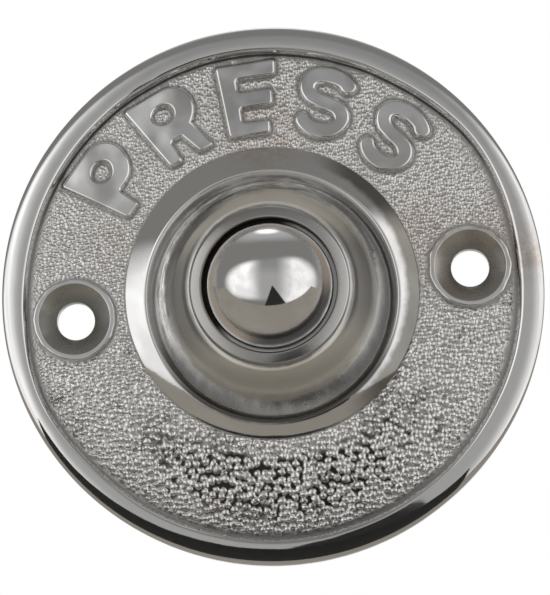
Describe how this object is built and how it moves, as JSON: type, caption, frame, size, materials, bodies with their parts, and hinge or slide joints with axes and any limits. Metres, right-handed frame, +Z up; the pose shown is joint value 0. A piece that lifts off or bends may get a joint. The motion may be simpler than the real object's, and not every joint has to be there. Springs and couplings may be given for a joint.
{
  "type": "doorbell push button",
  "caption": "Round cast bell push: rimmed chrome plate with a stippled field, screw bosses, collar and bell-shaped boss around a domed sprung button, contact base behind.",
  "frame": {"origin": "centre of the plate's back, on the wall plane, midway between the screw holes", "axes": "+Z up as fixed to the wall, face towards -Y, wall towards +Y, screw holes along X"},
  "size_m": [0.064, 0.0208, 0.064],
  "materials": {
    "plated_casting": "bright chrome plate over cast brass, stippled field, polished rim, collar and boss",
    "plated_button": "polished chrome plate over turned brass",
    "cap_moulding": "moulded insulating cap",
    "spring_bronze": "rolled phosphor bronze strip",
    "contact_metal": "silver-faced contact rivet",
    "base_moulding": "dark brown phenolic moulding",
    "terminal_brass": "turned brass",
    "plated_steel": "zinc-plated steel"
  },
  "bodies": {
    "plate": {"cover_plate": "plated_casting", "contact_base": "base_moulding", "spring_strip": "spring_bronze", "fixed_strip": "spring_bronze", "fixed_contact": "contact_metal", "terminal_bush_left": "terminal_brass", "terminal_bush_right": "terminal_brass", "terminal_washer_left": "terminal_brass", "terminal_washer_right": "terminal_brass", "terminal_screw_left": "terminal_brass", "terminal_screw_right": "terminal_brass", "base_screw_lower": "plated_steel", "base_screw_upper": "plated_steel"},
    "button": {"push_button": "plated_button", "insulating_cap": "cap_moulding", "spring_contact": "contact_metal"}
  },
  "joints": [
    {"name": "button_press", "type": "slide", "parent": "plate", "child": "button", "axis": [0, 1, 0], "range_m": [0, 0.0018], "stiffness_N_per_m": 1500, "springref_m": -0.0008, "deforming": ["spring_strip"]}
  ]
}
